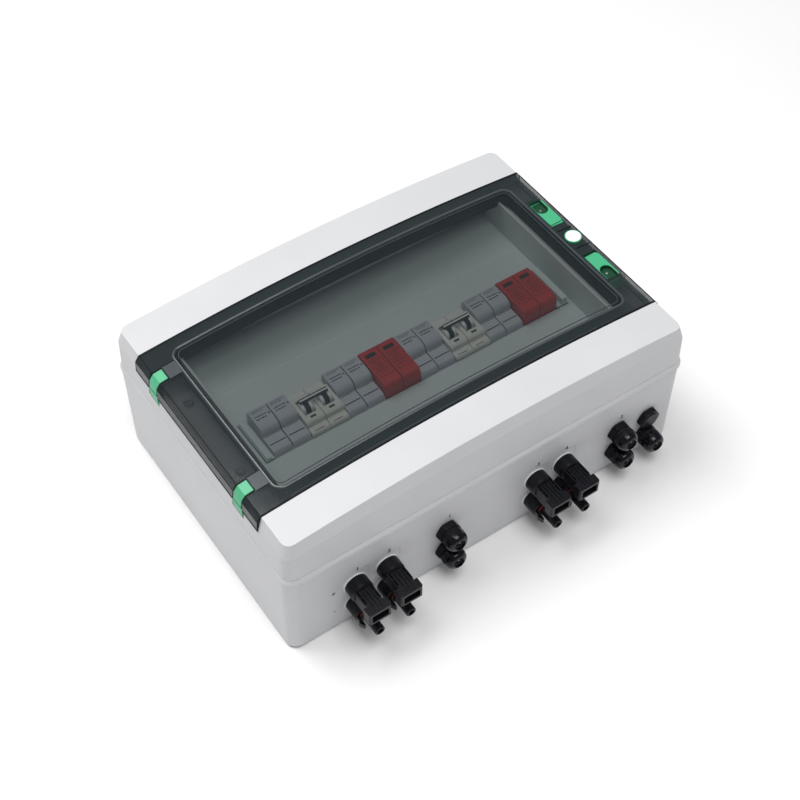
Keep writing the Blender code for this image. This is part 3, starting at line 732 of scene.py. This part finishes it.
def cartridge(number):
    """Plug-in arrester cartridge with rounded front and window slot."""
    node = f"surge_cartridge_{number}"
    low, high = spot(node)
    z, n0, n1, top = low.z, low.y, high.y, high.z
    nose = 7.0
    front = [(n0 + nose - nose * math.sin(math.radians(a)),
              top - nose + nose * math.cos(math.radians(a))) for a in range(0, 91, 15)]
    outline = [(n0, z), (n1, z), (n1, top - 2.0), (n1 - 0.6, top - 0.6), (n1 - 2.0, top)] + front
    x = (low.x + high.x) / 2
    bm = carved(prism_x(outline, low.x, high.x),
                block(x - 5.0, x + 5.0, n1 - 9.6, n1 - 5.4, top - 3.0, top + 2.0))
    body = f"cartridge_{number}"
    piece = made(node + "_case", bm, RED, body, bevel=0.5)
    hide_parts(node)
    # near-black block filling most of the window slot: painted shade in the slot
    made(node + "_window", block(x - 4.8, x + 4.8, n1 - 9.4, n1 - 5.6, top - 2.9, top - 1.6),
         RECESS_SHADE, body, bevel=0.0)
    made(node + "_frame", carved(
        block(x - 6.4, x + 6.4, n1 - 33.0, n1 - 12.0, top - 0.1, top + 0.15),
        block(x - 6.0, x + 6.0, n1 - 32.6, n1 - 12.4, top - 1.0, top + 1.0)),
        DARK_RED, body, bevel=0.0)
    for k in range(6):
        dashes(f"{node}_print_{k}", x - 4.8 + 0.5 * (k % 3), x + 4.8 - 1.4 * (k % 2),
               n1 - 14.6 - 2.8 * k, top, 1.1, DARK_RED, body, number + k)


for number in range(1, 5):
    cartridge(number)


# ---------------------------------------------------------------- wall fittings

SHANK = 10.0         # length of a fitting behind the wall face


def washer(name, x, wall, z, body="box"):
    """Pale ring between a fitting and the wall."""
    made(name, lathe_y([(11.2, wall - 0.1), (11.2, wall - 1.2), (9.0, wall - 1.2),
                        (9.0, wall - 0.1)], x, z, closed=True), WASHER, body, bevel=0.2)


def panel_socket(number):
    """Upper connector: round base, grooved flat housing, winged mouth."""
    node = f"socket_{number}"
    low, high = spot(node)
    x, z = (low.x + high.x) / 2, (low.z + high.z) / 2
    wall = high.y - SHANK
    tip = low.y
    washer(node + "_washer", x, wall, z)
    base = lathe_y([(9.4, wall - 0.4), (10.3, wall - 1.2), (10.5, wall - 2.6), (10.4, wall - 11.0),
                    (9.2, wall - 12.6)], x, z)
    main = made(node + "_base", base, BLACK, "box", bevel=0.3)
    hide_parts(node)
    shoulder = tip + 9.0
    outline = [(x - 8.0, wall - 8.0), (x - 8.0, shoulder + 2.4), (x - 7.2, shoulder + 0.6),
               (x - 7.2, shoulder), (x - 10.4, shoulder), (x - 10.4, tip + 1.4),
               (x - 9.4, tip), (x + 9.4, tip), (x + 10.4, tip + 1.4), (x + 10.4, shoulder),
               (x + 7.2, shoulder), (x + 7.2, shoulder + 0.6), (x + 8.0, shoulder + 2.4),
               (x + 8.0, wall - 8.0)]
    top = z + 7.0
    cutters = [block(x - 7.6, x + 7.6, tip - 1.0, tip + 5.0, z - 4.8, z + 4.0)]
    cutters += [block(x + g - 0.7, x + g + 0.7, tip + 3.0, wall - 14.0, top - 1.0, top + 2.0)
                for g in (-3.2, 0.0, 3.2)]
    for side in (-1, 1):
        inner, outer = x + side * 5.6, x + side * 6.8
        for y0, y1 in ((wall - 18.0, wall - 11.6), (wall - 25.6, wall - 19.2)):
            cutters.append(block(min(inner, outer), max(inner, outer), y0, y1, top - 3.0,
                                 top + 2.0))
    cutters.append(lathe_y([(3.2, tip - 1.0), (3.2, tip + 14.0)], x, z, 24))
    bm = carved(prism_z(outline, z - 7.0, top), *cutters)
    made(node + "_housing", bm, BLACK, "box", bevel=0.5)
    # near-black block at the back of the mouth: painted shade inside the recess
    made(node + "_mouth_shade", block(x - 7.2, x + 7.2, tip + 4.2, tip + 4.9, z - 4.5, z + 3.8), RECESS_SHADE,
         "box", bevel=0.0)


def panel_pin(number):
    """Lower connector: round base, barbed spring clips, seal ring, hollow pin sleeve."""
    node = f"pin_plug_{number}"
    low, high = spot(node)
    x, z = (low.x + high.x) / 2, (low.z + high.z) / 2
    wall = high.y - SHANK
    tip = low.y
    washer(node + "_washer", x, wall, z)
    base = lathe_y([(9.4, wall - 0.4), (10.2, wall - 1.2), (10.3, wall - 2.4), (10.2, wall - 14.4),
                    (9.2, wall - 15.6)], x, z)
    main = made(node + "_base", base, BLACK, "box", bevel=0.3)
    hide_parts(node)
    made(node + "_ring", lathe_y([(6.4, wall - 15.4), (6.8, wall - 16.4), (6.4, wall - 17.4)],
         x, z, 40), ORING, "box", bevel=0.3)
    sleeve = lathe_y([(5.4, wall - 15.0), (5.4, wall - 18.6), (4.7, wall - 19.6), (4.6, tip + 0.6),
                      (4.2, tip), (3.0, tip), (2.9, tip + 9.0), (1.0, tip + 9.2)], x, z, 40)
    made(node + "_sleeve", sleeve, BLACK, "box", bevel=0.15)
    # near-black plug inside the hollow pin: painted shade deep in the bore
    made(node + "_bore_shade", lathe_y([(2.8, tip + 6.0), (2.8, tip + 8.0)], x, z, 24), RECESS_SHADE, "box",
         bevel=0.0)
    for side, label in ((-1, "left"), (1, "right")):
        a, b = x + side * 6.8, x + side * 9.2
        points = [(a, wall - 14.0), (b, wall - 14.0), (b, wall - 20.0),
                  (b + side * 1.4, wall - 21.0), (b - side * 0.6, wall - 26.0),
                  (a + side * 0.4, wall - 26.0), (a, wall - 22.0)]
        made(f"{node}_clip_{label}", prism_z(points, z - 2.6, z + 2.6), BLACK, "box", bevel=0.3)


def hexagon(x, z, across, y0, y1, lip=0.9):
    """Hexagonal prism along Y whose corners are turned off at both ends."""
    rings = []
    corners = across / math.sqrt(3.0)
    for y, shrink in ((y0, lip), (y0 - lip * 0.6, 0.0), (y1 + lip * 0.6, 0.0), (y1, lip)):
        ring = []
        for i in range(60):
            a = 2 * math.pi * i / 60
            fold = (a + math.pi / 6) % (math.pi / 3) - math.pi / 6
            flat = (across / 2) / math.cos(fold)
            radius = min(flat, corners * 0.985 - shrink)
            ring.append((x + radius * math.sin(a), y, z + radius * math.cos(a)))
        rings.append(ring)
    return skin(rings)


def gland(number):
    """Cable gland: hexagonal body, turned neck, domed nut with cable hole."""
    low, high = spot(f"gland_body_{number}")
    nut_low, nut_high = spot(f"gland_nut_{number}")
    x, z = (low.x + high.x) / 2, (low.z + high.z) / 2
    wall = high.y - SHANK
    main = made(f"gland_hex_{number}", carved(
        hexagon(x, z, 19.6, wall - 0.2, wall - 6.2),
        lathe_y([(5.0, wall + 3.0), (5.0, wall - 9.0)], x, z, 32)), BLACK, "box", bevel=0.2)
    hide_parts(f"gland_body_{number}")
    # the neck ring is near-black: painted shade in the gap between the hex body and the nut
    neck = lathe_y([(8.6, wall - 5.8), (8.6, wall - 8.2), (5.0, wall - 8.2), (5.0, wall - 5.8)],
                   x, z, closed=True)
    made(f"gland_neck_shade_{number}", neck, RECESS_SHADE, "box", bevel=0.1)
    y0, tip = nut_high.y, nut_low.y
    body = f"nut_{number}"
    dome = [(5.0, y0 - 0.2), (9.4, y0 - 0.2), (10.0, y0 - 0.9), (10.0, y0 - 5.6)]
    dome += [(5.6 + 4.2 * math.cos(math.radians(a)), y0 - 6.0 - 5.4 * math.sin(math.radians(a)))
             for a in range(10, 91, 16)]
    dome += [(5.2, tip), (4.6, tip + 0.5), (4.4, tip + 5.0)]
    cap = made(f"gland_cap_{number}", lathe_y(dome, x, z, closed=True), GLOSS, body, bevel=0.0)
    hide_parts(f"gland_nut_{number}")
    grip = carved(hexagon(x, z, 18.8, y0 - 0.3, y0 - 6.2),
                  lathe_y([(9.0, y0 + 2.0), (9.0, y0 - 9.0)], x, z, 32))
    made(f"gland_grip_{number}", grip, GLOSS, body, bevel=0.2)
    seal = lathe_y([(4.7, y0 - 1.0), (4.7, tip + 2.2), (3.2, tip + 2.4), (3.2, y0 - 1.0)],
                   x, z, closed=True)
    made(f"gland_seal_{number}", seal, RUBBER, body, bevel=0.1)


for number in range(1, 5):
    panel_socket(number)
    panel_pin(number)
for number in range(1, 6):
    gland(number)

low, high = spot("vent_plug")
vent_x, vent_z = (low.x + high.x) / 2, (low.z + high.z) / 2
vent_wall = high.y - SHANK
vent = made("vent_hex", hexagon(vent_x, vent_z, 19.6, vent_wall - 0.2, vent_wall - 5.6), BLACK,
            "box", bevel=0.3)
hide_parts("vent_plug")
made("vent_cap", lathe_y([(8.4, vent_wall - 5.2), (8.4, vent_wall - 6.0), (7.6, vent_wall - 6.6)],
     vent_x, vent_z), BLACK, "box", bevel=0.2)


# ---------------------------------------------------------------- wall marks

BASE_LOW, BASE_HIGH = spot("base_shell")
WALL_FACE = BASE_LOW.y + 2.0
RIM_FOOT = BASE_HIGH.z - 7.5


def wall_strip(name, x0, x1, z0, z1, mat=LINE, proud=0.12):
    """Thin raised line on the front wall."""
    made(name, block(x0, x1, WALL_FACE - proud, WALL_FACE + 0.2, z0, z1), mat, "box", bevel=0.0)


# pale strip along the panel's top edge under the rim: painted highlight where the edge catches the
# light
wall_strip("panel_edge_highlight", -184.0, 186.0, RIM_FOOT - 2.6, RIM_FOOT - 2.1, WASHER)
for number in range(1, 5):
    low, high = spot(f"socket_{number}")
    x = (low.x + high.x) / 2
    z = high.z + 4.2
    stamp(f"wall_number_{number}", str(number), 6.4, (x + 3.0, WALL_FACE - 0.05, z + 1.4), UPRIGHT,
          INK, "box", heavy=0.12)
    wall_strip(f"wall_bracket_{number}", x + 6.5, x + 13.4, high.z + 2.2, high.z + 2.6)
    wall_strip(f"wall_bracket_{number}_side", x + 13.0, x + 13.4, high.z - 7.0, high.z + 2.6)
for number, node in ((1, "gland_body_1"), (2, "gland_body_3")):
    low, high = spot(node)
    x = (low.x + high.x) / 2
    stamp(f"wall_out_{number}", str(number), 6.4, (x + 3.0, WALL_FACE - 0.05, high.z + 5.4),
          UPRIGHT, INK, "box", heavy=0.12)
low, high = spot("socket_1")
for name, sign, z in (("plus", "+", (low.z + high.z) / 2), ("minus", "-", 25.5)):
    stamp(f"wall_{name}", sign, 8.0, (low.x - 9.0, WALL_FACE - 0.05, z), UPRIGHT, INK, "box",
          heavy=0.1)


# ---------------------------------------------------------------- stage

floor = bpy.data.objects.new("floor", bpy.data.meshes.new("floor"))
sheet = bmesh.new()
bmesh.ops.create_grid(sheet, x_segments=1, y_segments=1, size=6.0)
sheet.to_mesh(floor.data)
sheet.free()
floor.location = (0.0, 0.0, -0.0006)
floor.data.materials.append(moulded("floor_white", (0.87, 0.87, 0.87), rough=0.7, vary=0.005,
                                    relief=0.02))
bpy.context.scene.collection.objects.link(floor)

world = bpy.data.worlds.new("studio")
world.use_nodes = True
world.node_tree.nodes["Background"].inputs["Color"].default_value = (1.0, 1.0, 1.0, 1.0)
world.node_tree.nodes["Background"].inputs["Strength"].default_value = 0.24
bpy.context.scene.world = world
bpy.context.scene.view_settings.view_transform = "Standard"


def softbox(name, place, aim, size, power):
    """Square area light aimed at a point."""
    lamp = bpy.data.lights.new(name, "AREA")
    lamp.energy = power
    lamp.size = size
    holder = bpy.data.objects.new(name, lamp)
    holder.location = place
    holder.rotation_euler = (Vector(aim) - Vector(place)).to_track_quat("-Z", "Y").to_euler()
    bpy.context.scene.collection.objects.link(holder)


softbox("key", (-0.65, 0.95, 2.5), (0.0, 0.0, 0.1), 1.6, 56.0)
softbox("front", (0.0, -0.9, 2.7), (0.0, 0.0, 0.1), 1.6, 42.0)

# camera: azimuth and elevation of the viewpoint, slight roll, and its place
AZIMUTH, ELEVATION, ROLL = (math.radians(a) for a in (-34.84, 51.25, 0.33))
CAMERA_PLACE = (-0.4653, -0.6676, 1.0598)
LENS = 66.54
back = Vector((math.sin(AZIMUTH) * math.cos(ELEVATION),
               -math.cos(AZIMUTH) * math.cos(ELEVATION), math.sin(ELEVATION)))
right = Vector((math.cos(AZIMUTH), math.sin(AZIMUTH), 0.0))
up = back.cross(right)
side = math.cos(ROLL) * right + math.sin(ROLL) * up
rise = -math.sin(ROLL) * right + math.cos(ROLL) * up
camera = bpy.data.objects.new("camera", bpy.data.cameras.new("camera"))
camera.data.lens = LENS
turn = Matrix((side, rise, back)).transposed().to_4x4()
camera.matrix_world = Matrix.Translation(Vector(CAMERA_PLACE)) @ turn
bpy.context.scene.collection.objects.link(camera)
bpy.context.scene.camera = camera
